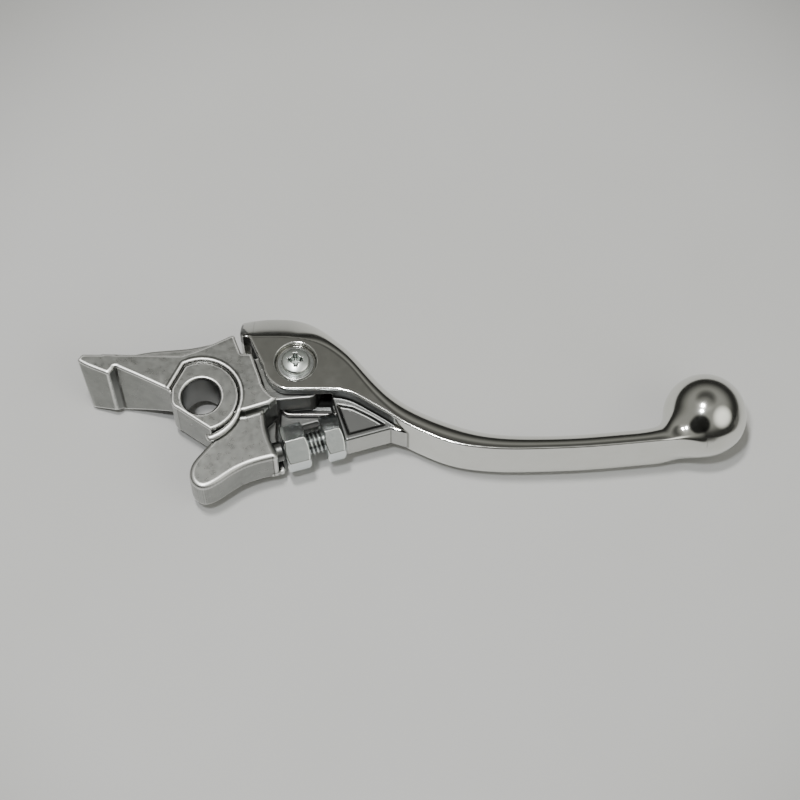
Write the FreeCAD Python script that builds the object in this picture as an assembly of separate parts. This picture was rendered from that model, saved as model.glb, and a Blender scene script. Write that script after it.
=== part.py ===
import FreeCAD, Part
import math
import os

# Motorcycle control lever with a separate knocker. Millimetres.
# Origin: axis of the main pivot bore, half way along the bore.
# +X runs along the blade to the ball, +Y points away from the grip, +Z is up along the bore.

# Knocker heights
BOSS_TOP = 6.5
BOSS_BOTTOM = -6.5
WEB_TOP = 7.0
WEB_BOTTOM = -4.8
LEDGE_TOP = 4.6
TOE_TOP = 4.5
TOE_BOTTOM = -6.5
TOE_FILLET = 0.8
FLANGE_TOP = -4.8
ARM_BOTTOM_HOOK = -9.3
ARM_BOTTOM_BOSS = -4.8
HOOK_BOTTOM = -10.0

# Main pivot boss
PIVOT_BORE_D = 9.0
BORE_CHAMFER = 0.5
BOSS_R = 9.0
RIM_R = 9.8
RIM_BEAD_R = 0.65
RIM_CENTRE_Z = 6.45
GROOVE_W = 0.35
GROOVE_FLOOR = 5.9
TONGUE_HALF = 3.6
TONGUE_R = 7.6

# Lever pivot, a shouldered screw through the fork
LEVER_PIVOT = (22.4, 8.9)
FORK_HALF = 4.0
FORK_R = 8.2
EAR_R = 7.9
LEVER_HALF = 7.0
HEEL_TOP = 5.6
SHOULDER_D = 6.0
SHOULDER_HOLE_D = 6.1
SCREW_THREAD_D = 5.0
SCREW_HEAD_D = 7.0
SCREW_HEAD_H = 2.3
COUNTERBORE_D = 10.0
COUNTERBORE_DEPTH = 1.6
WASHER_D = 8.8
WASHER_T = 0.7
BUSH_D = 8.0
BUSH_BORE_D = 6.05
SHIM_D = 9.4
SHIM_T = 0.3
THIN_NUT_AF = 8.0
THIN_NUT_H = 2.7
SCREW_END_Z = -9.8

# Adjuster
ADJUSTER_START = (19.49, -10.61, -1.5)
ADJUSTER_ANGLE = 16.2
HEX_AF = 10.0
HEAD_LENGTH = 5.8
FREE_THREAD = 4.0
NUT_LENGTH = 4.6
BOLT_D = 6.0
BOLT_LENGTH = 22.0
TAPPED_DEPTH = 26.0
THREAD_CLEARANCE = 0.05
TOE_GAP = 0.15
PAD_R = 2.4

# Lug that holds the adjuster
LUG_TOP = 2.5
LUG_BOTTOM = -6.0
LUG_POCKET_DEPTH = 0.6
LUG_CLEARANCE = 0.02

# Skirt of the fork's lower ear, beside the adjuster
SKIRT_LEFT = 18.4
SKIRT_RIGHT = 33.0
SKIRT_TOP = -4.2
SKIRT_TO_ADJUSTER = 6.1

# Ball end
BALL_CENTRE = (120.5, -2.1)
BALL_R = 10.0

# Return spring
WIRE_D = 0.9
COIL_R = 5.85
COIL_PITCH = 1.02
COIL_TURNS = 2.5
COIL_TOP = -0.75
SPRING_POCKET_R = (4.8, 6.9)
SPRING_POCKET_TOP = -0.2
LEG_Z = COIL_TOP - COIL_TURNS * COIL_PITCH
LEG_Y = -0.4
LEG_END_X = 32.9
COIL_EXIT_ANGLE = 200.0

# Blade stations from the fork to the ball: x, front wall y, far edge y, width of the flat top
BLADE_STATIONS = [
    (6.0, 1.6, 21.75, 13.9),
    (10.0, 1.6, 22.8, 13.9),
    (14.0, 1.6, 23.5, 13.9),
    (18.0, 1.6, 23.65, 13.9),
    (22.0, 1.6, 23.3, 13.7),
    (28.0, 1.6, 20.65, 12.0),
    (32.0, 1.5, 17.05, 9.3),
    (36.0, 0.5, 13.1, 6.2),
    (40.0, -1.8, 8.4, 3.2),
    (44.0, -4.3, 3.9, 1.2),
    (48.0, -7.0, 0.6, 0.4),
    (53.0, -9.7, -2.3, 0.3),
    (59.0, -12.2, -4.9, 0.3),
    (65.0, -13.5, -6.9, 0.3),
    (72.0, -14.05, -8.1, 0.3),
    (80.0, -14.0, -8.4, 0.3),
    (90.0, -13.6, -8.1, 0.3),
    (100.0, -12.8, -7.2, 0.3),
    (108.0, -12.0, -6.0, 0.3),
    (112.0, -11.6, -4.4, 0.3),
    (115.0, -11.2, -2.6, 0.3),
    (118.0, -10.8, -0.4, 0.3),
]

# The back is a rounded bevel at the head and turns into a half round along the blade
HEAD_POWER = 1.35
BLADE_POWER = 2.0
POWER_CHANGE = (22.0, 36.0)

# The blade loses height as it runs into the ball
NECK_START = 108.0
NECK_LENGTH = 12.5
NECK_FILLET = 2.0


def vec(x, y, z=0.0):
    return FreeCAD.Vector(x, y, z)


def polar(centre, radius, degrees, z=0.0):
    """Point at a radius and angle from a centre."""
    angle = math.radians(degrees)
    return vec(centre[0] + radius * math.cos(angle), centre[1] + radius * math.sin(angle), z)


def outline(start, *runs):
    """Closed wire at z = 0. A run is a point (line), a pair of points (arc) or a list (spline)."""
    edges = []
    here = vec(*start)
    for run in runs:
        if isinstance(run, list):
            points = [here] + [vec(*p) for p in run]
            curve = Part.BSplineCurve()
            curve.interpolate(points)
            edges.append(curve.toShape())
            here = points[-1]
        elif isinstance(run[0], tuple):
            edges.append(Part.Arc(here, vec(*run[0]), vec(*run[1])).toShape())
            here = vec(*run[1])
        else:
            edges.append(Part.makeLine(here, vec(*run)))
            here = vec(*run)
    if here.distanceToPoint(vec(*start)) > 1e-6:
        edges.append(Part.makeLine(here, vec(*start)))
    return Part.Wire(edges)


def prism(wire, bottom, top):
    """Solid between two heights over a closed wire that lies at z = 0."""
    face = Part.Face(wire)
    face.translate(vec(0, 0, bottom))
    return face.extrude(vec(0, 0, top - bottom))


def post(radius, bottom, top, centre=(0.0, 0.0)):
    return Part.makeCylinder(radius, top - bottom, vec(centre[0], centre[1], bottom))


def ring(outer, inner, bottom, top, centre):
    return post(outer, bottom, top, centre).cut(post(inner, bottom - 1, top + 1, centre))


def fillet_where(shape, radius, wanted):
    """Round the edges that pass the test, or return the shape as it is where that fails."""
    edges = [edge for edge in shape.Edges if wanted(edge)]
    if not edges:
        return shape
    try:
        rounded = shape.makeFillet(radius, edges)
    except Part.OCCError:
        print("fillet left out:", radius, len(edges))
        return shape
    return rounded if rounded.isValid() and rounded.Volume > 0 else shape


def edge_height(edge):
    """Height of a level edge, or None for an edge that climbs."""
    box = edge.BoundBox
    return round(box.ZMin, 3) if box.ZLength < 1e-3 else None


def hexagon(across_flats, length, turn):
    """Hexagonal prism along +X with chamfered corners on both ends."""
    corner_r = across_flats / math.sqrt(3.0)
    points = []
    for i in range(6):
        angle = math.radians(60.0 * i + turn)
        points.append(vec(0, corner_r * math.cos(angle), corner_r * math.sin(angle)))
    body = Part.Face(Part.makePolygon(points + points[:1])).extrude(vec(length, 0, 0))
    slope = math.tan(math.radians(30.0))
    reach = across_flats
    rim = across_flats / 2.0 * 0.97
    left = Part.makeCone(rim, rim + reach / slope, reach, vec(0, 0, 0), vec(1, 0, 0))
    right = Part.makeCone(rim, rim + reach / slope, reach, vec(length, 0, 0), vec(-1, 0, 0))
    return body.common(left).common(right)


def on_adjuster(shape):
    """Move a shape made along +X onto the adjuster's axis."""
    shape.rotate(vec(0, 0, 0), vec(0, 0, 1), ADJUSTER_ANGLE)
    shape.translate(vec(*ADJUSTER_START))
    return shape


def boss_outline():
    top_left = polar((0, 0), BOSS_R, 117.0)
    low = polar((0, 0), BOSS_R, -74.0)
    right = polar((0, 0), BOSS_R, 20.0)
    return outline((top_left.x, top_left.y), ((right.x, right.y), (low.x, low.y)),
                   (-5.5, -3.2), ((-6.8, -2.1), (-7.15, -0.5)), (-7.1, 2.1))


def boss_rim():
    """Rounded bead that follows the boss from its upper left corner round to the toe."""
    start = vec(-7.9, 1.4, RIM_CENTRE_Z)
    corner = polar((0, 0), RIM_R, 119.0, RIM_CENTRE_Z)
    middle = polar((0, 0), RIM_R, 20.0, RIM_CENTRE_Z)
    end = polar((0, 0), RIM_R, -74.0, RIM_CENTRE_Z)
    path = Part.Wire([Part.makeLine(start, corner), Part.Arc(corner, middle, end).toShape()])
    profile = Part.Wire(Part.Circle(start, corner - start, RIM_BEAD_R).toShape())
    bead = path.makePipeShell([profile], True, False, 2)
    cap = Part.makeSphere(RIM_BEAD_R, end)
    return bead.fuse(cap)


def boss_groove():
    """Narrow groove between the machined boss and its rim."""
    face = Part.Face(boss_outline())
    wide = face.makeOffset2D(GROOVE_W)
    height = WEB_TOP + 1 - GROOVE_FLOOR
    for shape in (face, wide):
        shape.translate(vec(0, 0, GROOVE_FLOOR))
    return wide.extrude(vec(0, 0, height)).cut(face.extrude(vec(0, 0, height)))


def web():
    """Full-height plate between the arm, the boss and the fork."""
    wire = outline((-24.0, 10.95), (-5.5, 10.6), [(-0.6, 12.4), (4.6, 14.9), (6.6, 15.9)],
                   ((7.3, 16.0), (7.7, 15.3)), (9.1, 11.6), ((9.3, 11.25), (9.7, 11.2)),
                   (11.8, 11.2), (14.1, 4.6), ((15.3, 1.7), (18.0, -0.6)), (16.3, -2.0),
                   (10.6, -3.9), (0.0, -5.0), (-7.9, 1.6), (-14.7, 5.2), (-20.2, 7.6), (-24.0, 7.8))
    plate = prism(wire, WEB_BOTTOM, WEB_TOP)
    return plate.cut(prism(boss_outline(), BOSS_TOP, WEB_TOP + 1))


def ledge():
    """Lower shelf that stands out beyond the far edge of the arm."""
    wire = outline((-22.0, 10.4), [(-16.0, 12.3), (-9.0, 13.3), (-3.0, 13.9), (4.0, 15.6)],
                   (5.0, 12.0), (-5.0, 8.0))
    solid = prism(wire, WEB_BOTTOM, LEDGE_TOP)
    return fillet_where(solid, 0.9, lambda e: edge_height(e) == LEDGE_TOP and e.CenterOfMass.y > 11.5)


def loft_between(low_points, high_points):
    """Straight-sided block between two flat outlines with the same number of corners."""
    wires = []
    for points in (low_points, high_points):
        corners = [vec(*point) for point in points]
        wires.append(Part.makePolygon(corners + corners[:1]))
    return Part.makeLoft(wires, True, True)


def arm():
    """Drafted lower part of the arm, deeper at the hook than at the boss."""
    low_hook = ARM_BOTTOM_HOOK
    low_boss = ARM_BOTTOM_BOSS
    top = WEB_TOP - 0.4
    low = [(-20.4, 3.6, low_hook), (-5.0, 0.6, low_boss), (-5.0, 8.0, low_boss), (-20.4, 9.4, low_hook)]
    high = [(-20.4, 7.5, top), (-5.0, 0.2, top), (-5.0, 10.5, top), (-20.4, 10.8, top)]
    return loft_between(low, high)


def hook():
    """Claw at the end of the arm, leaning towards the grip as it goes down."""
    low = [(-27.4, 3.85), (-21.2, 1.9), (-18.1, 4.3), (-18.6, 8.4), (-26.6, 9.6), (-27.7, 4.6)]
    high = [(-28.6, 8.3), (-22.4, 5.7), (-21.0, 7.6), (-20.6, 10.95), (-29.0, 11.0), (-30.1, 9.4)]
    claw = loft_between([(x, y, HOOK_BOTTOM) for x, y in low], [(x, y, WEB_TOP) for x, y in high])
    toe_cut = Part.makeBox(30, 4, 4, vec(-35, 0, 0))
    toe_cut.rotate(vec(0, 0, 0), vec(1, 0, 0), 45.0)
    toe_cut.translate(vec(0, 2.2, HOOK_BOTTOM - 2.6))
    return claw.cut(toe_cut)


def is_toe_rim(edge):
    """True for the top edges round the toe, away from the boss."""
    middle = edge.CenterOfMass
    return edge_height(edge) == TOE_TOP and middle.x > 4.0 and middle.y < -5.0


def toe():
    """Toe that pushes the piston, with a pad for the adjuster's head."""
    nose = [(0.2, -13.7), (-1.7, -16.4), (-2.3, -19.3), (-1.6, -21.4), (0.7, -22.9), (3.2, -22.3)]
    front = [(7.4, -19.4), (12.0, -16.9), (17.4, -15.3)]
    wire = outline((3.0, -8.0), (2.6, -10.8), nose + front, ((18.3, -14.9), (18.3, -14.0)),
                   [(17.1, -11.4), (15.7, -7.2), (15.2, -3.4)], (16.2, -1.6), (10.0, 2.0), (2.0, 2.0))
    block = prism(wire, TOE_BOTTOM, TOE_TOP)
    block = fillet_where(block, TOE_FILLET, is_toe_rim)
    pad = on_adjuster(Part.makeCylinder(PAD_R, 6.0, vec(-6.0 - TOE_GAP, 0, 0), vec(1, 0, 0)))
    return block.fuse(pad)


def toe_flange():
    """Low flange at the foot of the toe, beside the adjuster's head."""
    wire = outline((14.0, -1.5), (17.6, -1.5), (17.6, -5.6), (19.1, -11.2), (19.8, -13.6),
                   ((19.8, -14.4), (19.2, -14.9)), (17.0, -15.4), (14.0, -14.0))
    return prism(wire, TOE_BOTTOM, FLANGE_TOP)


def tongue():
    """Thin end of the knocker that the lever's fork straddles."""
    left = polar(LEVER_PIVOT, TONGUE_R, 150.0)
    top = polar(LEVER_PIVOT, TONGUE_R, 60.0)
    right = polar(LEVER_PIVOT, TONGUE_R, -48.0)
    wire = outline((9.0, 8.0), (11.6, 11.0), (left.x, left.y), ((top.x, top.y), (right.x, right.y)),
                   ((27.0, 1.6), (25.4, 0.9)), (17.5, 0.2), (15.5, -1.6), (9.0, -2.5))
    return prism(wire, -TONGUE_HALF, TONGUE_HALF)


def spring_pocket():
    """Ring-shaped pocket under the tongue, a groove for one leg and a hole for the other end."""
    inner, outer = SPRING_POCKET_R
    pocket = ring(outer, inner, -TONGUE_HALF - 1, SPRING_POCKET_TOP, LEVER_PIVOT)
    groove_from = polar(LEVER_PIVOT, COIL_R, COIL_EXIT_ANGLE)
    groove = Part.makeBox(1.7, 12.0, 2.6, vec(-0.85, -12.0, -TONGUE_HALF - 1))
    groove.rotate(vec(0, 0, 0), vec(0, 0, 1), COIL_EXIT_ANGLE - 180.0)
    groove.translate(vec(groove_from.x, groove_from.y, 0))
    anchor = polar(LEVER_PIVOT, COIL_R, anchor_angle())
    hole = post(WIRE_D / 2 + 0.05, SPRING_POCKET_TOP - 0.1, SPRING_POCKET_TOP + 2.2, (anchor.x, anchor.y))
    return pocket.fuse(groove).fuse(hole)


def anchor_angle():
    """Angle of the coil's upper end about the lever pivot."""
    return COIL_EXIT_ANGLE - 360.0 * COIL_TURNS


def knocker():
    body = prism(boss_outline(), BOSS_BOTTOM, BOSS_TOP)
    for piece in (web(), ledge(), arm(), hook(), toe(), toe_flange(), tongue()):
        body = body.fuse(piece)
    body = body.cut(boss_groove()).fuse(boss_rim()).removeSplitter()
    bore_r = PIVOT_BORE_D / 2
    body = body.cut(post(bore_r, BOSS_BOTTOM - 1, BOSS_TOP + 2))
    rim_r = bore_r + BORE_CHAMFER
    for z, direction in ((BOSS_TOP, -1), (BOSS_BOTTOM, 1)):
        body = body.cut(Part.makeCone(rim_r, bore_r, BORE_CHAMFER, vec(0, 0, z), vec(0, 0, direction)))
    body = body.cut(post(BUSH_D / 2, -TONGUE_HALF - 1, TONGUE_HALF + 1, LEVER_PIVOT))
    pit = Part.makeSphere(0.75, vec(10.2, -18.5, TOE_BOTTOM + 1.1))
    return body.cut(spring_pocket()).cut(pit)


def back_power(x):
    """Exponent of the back's curve: near 1 is a bevel, 2 is an ellipse."""
    share = (x - POWER_CHANGE[0]) / (POWER_CHANGE[1] - POWER_CHANGE[0])
    share = min(1.0, max(0.0, share))
    return HEAD_POWER + (BLADE_POWER - HEAD_POWER) * share * share * (3.0 - 2.0 * share)


def blade_section(x, front, far, flat):
    """Flat front wall, short flat top, then a rounded back down to the flat bottom."""
    into_neck = max(0.0, (x - NECK_START) / NECK_LENGTH)
    half = LEVER_HALF * math.sqrt(1.0 - into_neck ** 2)
    start = front + flat
    depth = far - start
    bend = 2.0 / back_power(x)
    round_points = []
    steps = 8
    for i in range(steps + 1):
        angle = math.pi / 2 - math.pi * i / steps
        across = abs(math.cos(angle)) ** bend
        up = math.copysign(abs(math.sin(angle)) ** bend, math.sin(angle))
        round_points.append(vec(x, start + depth * across, half * up))
    back = Part.BSplineCurve()
    back.interpolate(Points=round_points, InitialTangent=vec(0, 1, 0), FinalTangent=vec(0, -1, 0))
    edges = [
        Part.makeLine(vec(x, front, -half), vec(x, front, half)),
        Part.makeLine(vec(x, front, half), vec(x, start, half)),
        back.toShape(),
        Part.makeLine(vec(x, start, -half), vec(x, front, -half)),
    ]
    return Part.Wire(edges)


def ear_trim():
    """Everything left of and below the fork's ears, to be cut from the lever's head."""
    low_left = polar(LEVER_PIVOT, EAR_R, 187.0)
    middle = polar(LEVER_PIVOT, EAR_R, 225.0)
    bottom = polar(LEVER_PIVOT, EAR_R, 262.0)
    wire = outline((9.2, 30.0), (9.2, 20.2), ((9.3, 19.0), (9.6, 18.6)), (11.2, 15.2),
                   (low_left.x, low_left.y), ((middle.x, middle.y), (bottom.x, bottom.y)),
                   (21.3, -30.0), (-20.0, -30.0), (-20.0, 30.0))
    return prism(wire, -20.0, 20.0)


def heel_region():
    """Room for the heel at the head's left end, which comes close to the knocker's web at full swing."""
    wire = outline((8.8, 30.0), (8.75, 17.0), ((8.85, 16.6), (9.1, 16.3)), (9.6, 15.6), (12.0, 15.5),
                   (12.0, 30.0))
    return prism(wire, -LEVER_HALF - 1, HEEL_TOP)


def fork_cavity():
    """Space between the ears, round the knocker's tongue."""
    top_left = polar(LEVER_PIVOT, FORK_R, 122.0)
    top = polar(LEVER_PIVOT, FORK_R, 60.0)
    right = polar(LEVER_PIVOT, FORK_R, 0.0)
    wire = outline((5.0, 14.0), (top_left.x, top_left.y), ((top.x, top.y), (right.x, right.y)),
                   (31.2, 0.0), (31.2, -6.0), (5.0, -6.0))
    return prism(wire, -FORK_HALF, FORK_HALF)


def skirt():
    """Part of the fork's lower ear that reaches under the spring's leg towards the adjuster."""
    angle = math.radians(ADJUSTER_ANGLE)
    edge = []
    for x in (SKIRT_LEFT, SKIRT_RIGHT - 1.0):
        rise = (x - ADJUSTER_START[0]) * math.tan(angle) + SKIRT_TO_ADJUSTER / math.cos(angle)
        edge.append((x, ADJUSTER_START[1] + rise))
    return prism(outline((SKIRT_LEFT, 2.0), edge[0], edge[1], (SKIRT_RIGHT, 2.2)), -LEVER_HALF, SKIRT_TOP)


def lug_face_point(y):
    """Point of the lug's left face, which is square to the adjuster."""
    angle = math.radians(ADJUSTER_ANGLE)
    run = HEAD_LENGTH + FREE_THREAD + NUT_LENGTH + LUG_CLEARANCE
    x = ADJUSTER_START[0] + run * math.cos(angle)
    seat_y = ADJUSTER_START[1] + run * math.sin(angle)
    return x + (seat_y - y) * math.tan(angle), y


def lug():
    """Triangular lug that the adjuster is screwed into, with a shallow pocket on top."""
    corners = outline(lug_face_point(1.6), lug_face_point(-9.2), ((34.6, -9.75), (35.3, -9.7)),
                      (45.2, -6.8), (49.0, -8.0), (48.0, -3.0), (40.0, 4.0))
    block = prism(corners, LUG_BOTTOM, LUG_TOP)
    pocket = outline((32.5, -0.5), (35.2, -8.0), (43.6, -5.6), [(40.2, -3.4), (36.0, -1.2)])
    return block.cut(prism(pocket, LUG_TOP - LUG_POCKET_DEPTH, LUG_TOP + 1))


def on_ball(edge):
    """True for an edge that lies on the ball's surface, away from its far end."""
    if edge.Degenerated or edge.CenterOfMass.x > BALL_CENTRE[0]:
        return False
    centre = vec(BALL_CENTRE[0], BALL_CENTRE[1], 0)
    span = edge.LastParameter - edge.FirstParameter
    places = [edge.valueAt(edge.FirstParameter + span * i / 6.0) for i in range(7)]
    return all(abs((place - centre).Length - BALL_R) < 0.02 for place in places)


def lever_blade():
    sections = [blade_section(*station) for station in BLADE_STATIONS]
    bar = Part.makeLoft(sections, True, False)
    body = bar.cut(ear_trim()).fuse(bar.common(heel_region())).cut(fork_cavity())
    body = body.fuse(Part.makeSphere(BALL_R, vec(BALL_CENTRE[0], BALL_CENTRE[1], 0)))
    body = fillet_where(body, NECK_FILLET, on_ball)
    body = body.fuse(lug()).fuse(skirt())
    body = body.removeSplitter()
    x, y = LEVER_PIVOT
    body = body.cut(post(COUNTERBORE_D / 2, LEVER_HALF - COUNTERBORE_DEPTH, LEVER_HALF + 1, (x, y)))
    body = body.cut(post(SHOULDER_HOLE_D / 2, 0.0, LEVER_HALF, (x, y)))
    body = body.cut(post(SCREW_THREAD_D / 2 + THREAD_CLEARANCE, -LEVER_HALF - 1, 0.0, (x, y)))
    tapped = Part.makeCylinder(BOLT_D / 2 + THREAD_CLEARANCE, TAPPED_DEPTH, vec(0, 0, 0), vec(1, 0, 0))
    leg_room = vec(28.0, LEG_Y, LEG_Z)
    leg_hole = Part.makeCylinder(WIRE_D / 2 + 0.1, LEG_END_X + 0.4 - leg_room.x, leg_room, vec(1, 0, 0))
    return body.cut(on_adjuster(tapped)).cut(leg_hole)


def lever_pivot_screw():
    """Shouldered screw with a domed cross-recessed head."""
    x, y = LEVER_PIVOT
    seat = LEVER_HALF - COUNTERBORE_DEPTH + WASHER_T
    head_r = SCREW_HEAD_D / 2
    dome_r = (head_r ** 2 + SCREW_HEAD_H ** 2) / (2 * SCREW_HEAD_H) + 1.2
    dome = Part.makeSphere(dome_r, vec(x, y, seat + SCREW_HEAD_H - dome_r))
    head = post(head_r, seat, seat + SCREW_HEAD_H, (x, y)).common(dome)
    for turn in (4.0, 94.0):
        slot = Part.makeBox(4.2, 0.9, 1.6, vec(-2.1, -0.45, 0))
        slot.rotate(vec(0, 0, 0), vec(0, 0, 1), turn)
        slot.translate(vec(x, y, seat + SCREW_HEAD_H - 1.4))
        head = head.cut(slot)
    shoulder = post(SHOULDER_D / 2, -FORK_HALF, seat, (x, y))
    thread = post(SCREW_THREAD_D / 2, SCREW_END_Z, -FORK_HALF, (x, y))
    return head.fuse(shoulder).fuse(thread).removeSplitter()


def pivot_washer():
    seat = LEVER_HALF - COUNTERBORE_DEPTH
    return ring(WASHER_D / 2, SHOULDER_HOLE_D / 2, seat, seat + WASHER_T, LEVER_PIVOT)


def pivot_bush():
    half = TONGUE_HALF + 0.04
    return ring(BUSH_D / 2, BUSH_BORE_D / 2, -half, half, LEVER_PIVOT)


def fork_shims():
    bore = SHOULDER_HOLE_D / 2
    top = ring(SHIM_D / 2, bore, FORK_HALF - SHIM_T, FORK_HALF, LEVER_PIVOT)
    bottom = ring(SHIM_D / 2, bore, -FORK_HALF, -FORK_HALF + SHIM_T, LEVER_PIVOT)
    return Part.makeCompound([top, bottom])


def pivot_lock_nut():
    nut = hexagon(THIN_NUT_AF, THIN_NUT_H, 15.0)
    nut.rotate(vec(0, 0, 0), vec(0, 1, 0), 90.0)
    nut.translate(vec(LEVER_PIVOT[0], LEVER_PIVOT[1], -LEVER_HALF))
    hole = post(SCREW_THREAD_D / 2 + THREAD_CLEARANCE, -LEVER_HALF - 10, 0.0, LEVER_PIVOT)
    return nut.cut(hole)


def adjuster_bolt():
    head = hexagon(HEX_AF, HEAD_LENGTH, 35.0)
    shank = Part.makeCylinder(BOLT_D / 2, BOLT_LENGTH - HEAD_LENGTH, vec(HEAD_LENGTH, 0, 0), vec(1, 0, 0))
    return on_adjuster(head.fuse(shank).removeSplitter())


def adjuster_lock_nut():
    nut = hexagon(HEX_AF, NUT_LENGTH, 35.0)
    nut = nut.cut(Part.makeCylinder(BOLT_D / 2 + THREAD_CLEARANCE, NUT_LENGTH, vec(0, 0, 0), vec(1, 0, 0)))
    nut.translate(vec(HEAD_LENGTH + FREE_THREAD, 0, 0))
    return on_adjuster(nut)


def return_spring():
    """Torsion coil round the bush; one leg crosses to the lug, the other end is anchored in the tongue."""
    r = WIRE_D / 2
    helix = Part.makeHelix(COIL_PITCH, COIL_PITCH * COIL_TURNS, COIL_R, 0.0, True)
    profile = Part.Wire(Part.Circle(vec(COIL_R, 0, 0), vec(0, 1, 0), r).toShape())
    coil = Part.Wire(helix.Edges).makePipeShell([profile], True, True)
    coil.rotate(vec(0, 0, 0), vec(1, 0, 0), 180.0)
    coil.rotate(vec(0, 0, 0), vec(0, 0, 1), anchor_angle())
    coil.translate(vec(LEVER_PIVOT[0], LEVER_PIVOT[1], COIL_TOP))
    anchor = polar(LEVER_PIVOT, COIL_R, anchor_angle())
    anchor_leg = post(r, COIL_TOP, SPRING_POCKET_TOP + 1.9, (anchor.x, anchor.y))
    elbow = Part.makeSphere(r, vec(anchor.x, anchor.y, COIL_TOP))
    return coil.fuse([anchor_leg, elbow, crossing_leg()]).removeSplitter()


def crossing_leg():
    """Leg that leaves the coil on a tangent, bends once and ends in the lug."""
    start = polar(LEVER_PIVOT, COIL_R, COIL_EXIT_ANGLE, LEG_Z)
    heading = math.radians(COIL_EXIT_ANGLE + 90.0)
    run = (LEG_Y - start.y) / math.sin(heading)
    corner = vec(start.x + run * math.cos(heading), LEG_Y, LEG_Z)
    end = vec(LEG_END_X, LEG_Y, LEG_Z)
    back = (start - corner).normalize()
    ahead = (end - corner).normalize()
    reach = 1.5
    half_turn = math.radians(COIL_EXIT_ANGLE - 90.0) / 2
    bend_in = corner + back * reach
    bend_out = corner + ahead * reach
    inward = (back + ahead).normalize()
    middle = corner + inward * (reach * (1 - math.sin(half_turn)) / math.cos(half_turn))
    path = Part.Wire([Part.makeLine(start, bend_in), Part.Arc(bend_in, middle, bend_out).toShape(),
                      Part.makeLine(bend_out, end)])
    profile = Part.Wire(Part.Circle(start, corner - start, WIRE_D / 2).toShape())
    leg = path.makePipeShell([profile], True, True)
    return leg.fuse(Part.makeSphere(WIRE_D / 2, start))


NODES = {
    "knocker": knocker,
    "lever_blade": lever_blade,
    "lever_pivot_screw": lever_pivot_screw,
    "pivot_washer": pivot_washer,
    "pivot_bush": pivot_bush,
    "fork_shims": fork_shims,
    "pivot_lock_nut": pivot_lock_nut,
    "adjuster_bolt": adjuster_bolt,
    "adjuster_lock_nut": adjuster_lock_nut,
    "return_spring": return_spring,
}

if __name__ == "__main__":
    os.makedirs("parts", exist_ok=True)
    for name, make in NODES.items():
        shape = make()
        shape.exportStep("parts/%s.step" % name)
        box = shape.BoundBox
        print("%s valid=%s solids=%d volume=%.0f box=(%.1f %.1f %.1f)-(%.1f %.1f %.1f)" % (
            name, shape.isValid(), len(shape.Solids), shape.Volume,
            box.XMin, box.YMin, box.ZMin, box.XMax, box.YMax, box.ZMax))
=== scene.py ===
"""Ball-ended control lever with a cast knocker, on a pale table. Shapes are in millimetres until meshed."""
import math

import bpy
import numpy as np
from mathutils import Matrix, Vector


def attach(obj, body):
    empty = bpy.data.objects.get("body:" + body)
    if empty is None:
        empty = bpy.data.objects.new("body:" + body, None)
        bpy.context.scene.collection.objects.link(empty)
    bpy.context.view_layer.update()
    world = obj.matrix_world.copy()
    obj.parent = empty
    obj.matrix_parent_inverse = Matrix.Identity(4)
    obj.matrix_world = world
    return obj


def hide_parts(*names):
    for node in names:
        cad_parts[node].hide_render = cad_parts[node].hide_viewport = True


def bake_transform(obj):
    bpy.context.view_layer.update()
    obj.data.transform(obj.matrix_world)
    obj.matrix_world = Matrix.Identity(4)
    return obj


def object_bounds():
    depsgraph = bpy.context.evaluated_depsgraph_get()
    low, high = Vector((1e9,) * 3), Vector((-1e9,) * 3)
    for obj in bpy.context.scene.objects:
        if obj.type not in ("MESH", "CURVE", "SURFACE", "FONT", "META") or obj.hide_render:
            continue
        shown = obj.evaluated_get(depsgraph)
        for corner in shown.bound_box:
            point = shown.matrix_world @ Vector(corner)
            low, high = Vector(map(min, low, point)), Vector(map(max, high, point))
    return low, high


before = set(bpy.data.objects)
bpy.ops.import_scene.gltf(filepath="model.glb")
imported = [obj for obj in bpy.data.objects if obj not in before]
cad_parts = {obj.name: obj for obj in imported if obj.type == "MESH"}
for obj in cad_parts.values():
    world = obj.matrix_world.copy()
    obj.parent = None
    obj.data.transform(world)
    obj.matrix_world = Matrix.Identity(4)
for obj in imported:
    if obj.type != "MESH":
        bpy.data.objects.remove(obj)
cad_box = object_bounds()

MM = 0.001
HALF_ROOT = math.sqrt(0.5)
RUNNING_GAP = 0.05

# Table: radii round the camera's target where its pale colour ends and where it is dark, a painted pool of
# light that fades into painted darkness
TABLE_PALE_R = 0.10
TABLE_DARK_R = 0.25

# Camera: from the grip side, high above the table, with a long lens
CAMERA_ELEVATION = math.radians(65.0)
CAMERA_DISTANCE = 0.578
CAMERA_TARGET = Vector((0.0474, 0.0020, 0.0))
LENS_MM = 108.0
SENSOR_MM = 36.0

# Knocker
BOSS_HALF = 6.5
BOSS_R = 9.0
BORE_R = 4.5
BORE_CHAMFER = 0.5
WEB_TOP = 7.0
WEB_BOTTOM = -4.8
LEDGE_TOP = 4.6
TOE_TOP = 4.5
TOE_BOTTOM = -6.5
FLANGE_TOP = -4.8
HOOK_BOTTOM = -10.0
ARM_LOW = -9.3
ARM_HIGH = 6.6
ARM_LEFT = -20.4
ARM_RIGHT = -5.0
PIT_CENTRE = (10.2, -18.5, -5.4)
PIT_R = 0.75
RIM_FROM_BOSS = 0.85
RIM_BEAD_R = 0.47
RIM_CENTRE_Z = 6.55
RIM_ENDS = (-77.0, 165.0)
RIM_SPREAD_FROM = -20.0
GROOVE_W = 0.5
GROOVE_FLOOR = 6.2
TONGUE_HALF = 3.6
TONGUE_R = 7.6

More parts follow.
